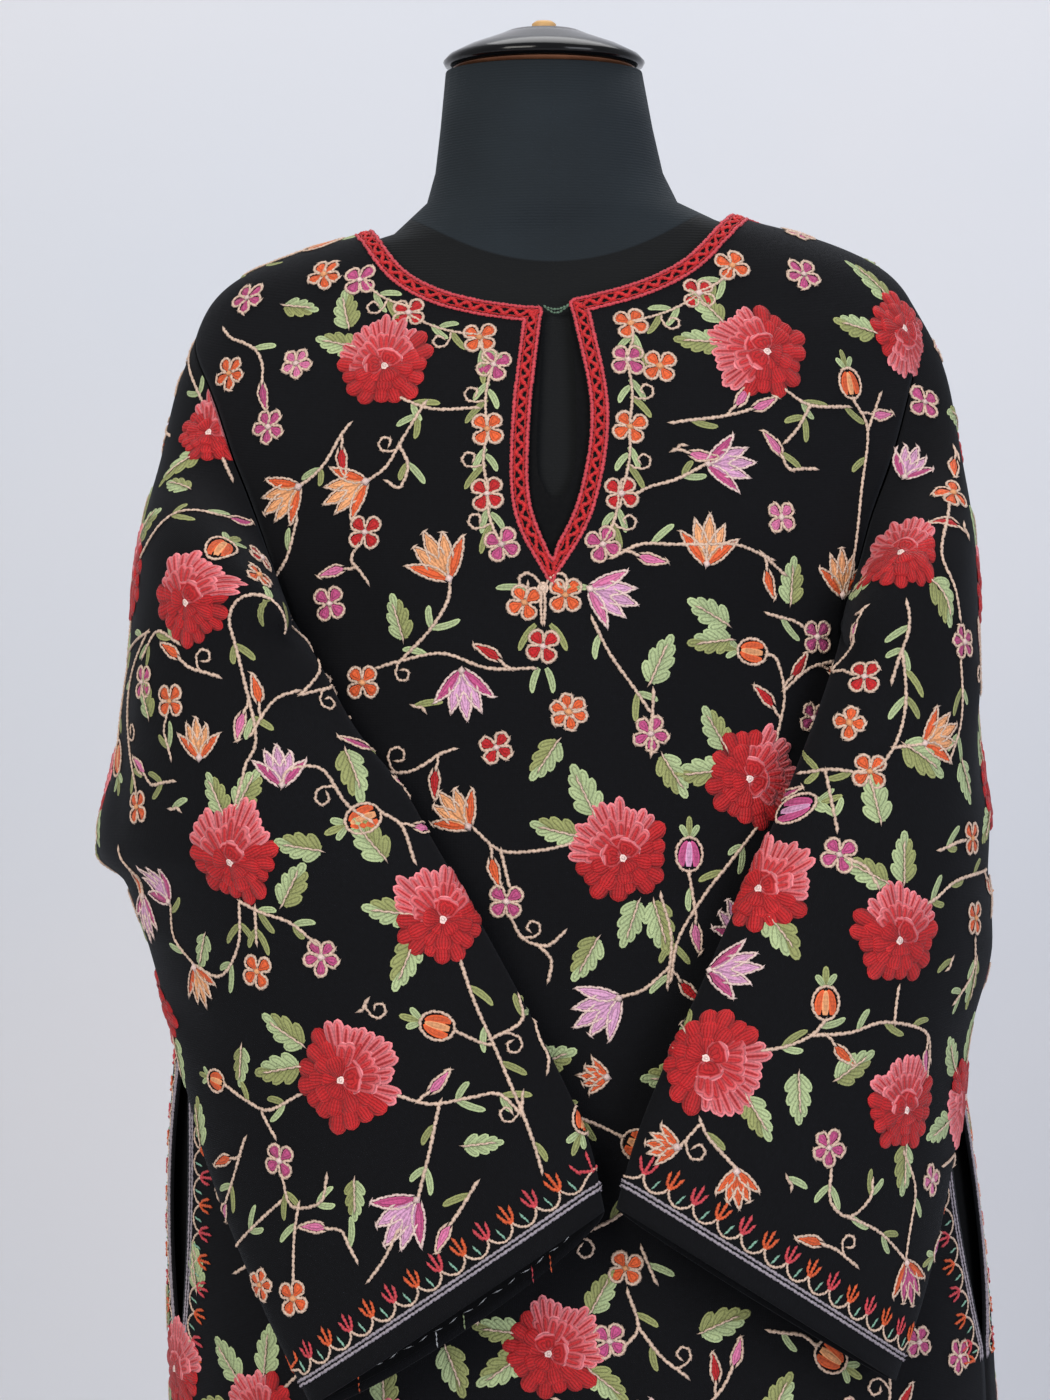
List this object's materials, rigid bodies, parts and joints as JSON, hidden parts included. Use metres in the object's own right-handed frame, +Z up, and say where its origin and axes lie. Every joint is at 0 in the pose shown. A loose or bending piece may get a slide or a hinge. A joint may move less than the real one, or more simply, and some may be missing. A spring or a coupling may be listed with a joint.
{
  "type": "pheran on a dress form",
  "caption": "Loose long-sleeved embroidered tunic with a slit neck and side pockets, worn by a limbless dress form on a round stand, its sleeves crossed low in front.",
  "frame": {"origin": "centre of the stand base's underside, on the floor", "axes": "+Z up the pole; the front of the garment faces -Y; the wearer's left is +X"},
  "size_m": [0.5242, 0.38, 1.518],
  "materials": {
    "cloth": "black crepe-woven wool blend, matt, with chain-stitch embroidery",
    "facing": "plain black cotton, matt",
    "form_cloth": "dark slate jersey stretched over the form",
    "cap_gloss": "black lacquer, glossy",
    "peg_wood": "pale turned wood, clear varnish",
    "stand_metal": "black powder coat, satin"
  },
  "bodies": {
    "root": {"front_panel": "cloth", "back_panel": "cloth", "sleeve_right": "cloth", "sleeve_left": "cloth", "slit_facing": "facing", "cuff_facing_right": "facing", "cuff_facing_left": "facing", "pocket_bag_right": "facing", "pocket_bag_left": "facing", "form_torso": "form_cloth", "neck_cap": "cap_gloss", "neck_cap_rim": "peg_wood", "cap_peg": "peg_wood", "stand_base": "stand_metal", "stand_pole": "stand_metal", "pole_collar": "stand_metal"}
  },
  "joints": []
}
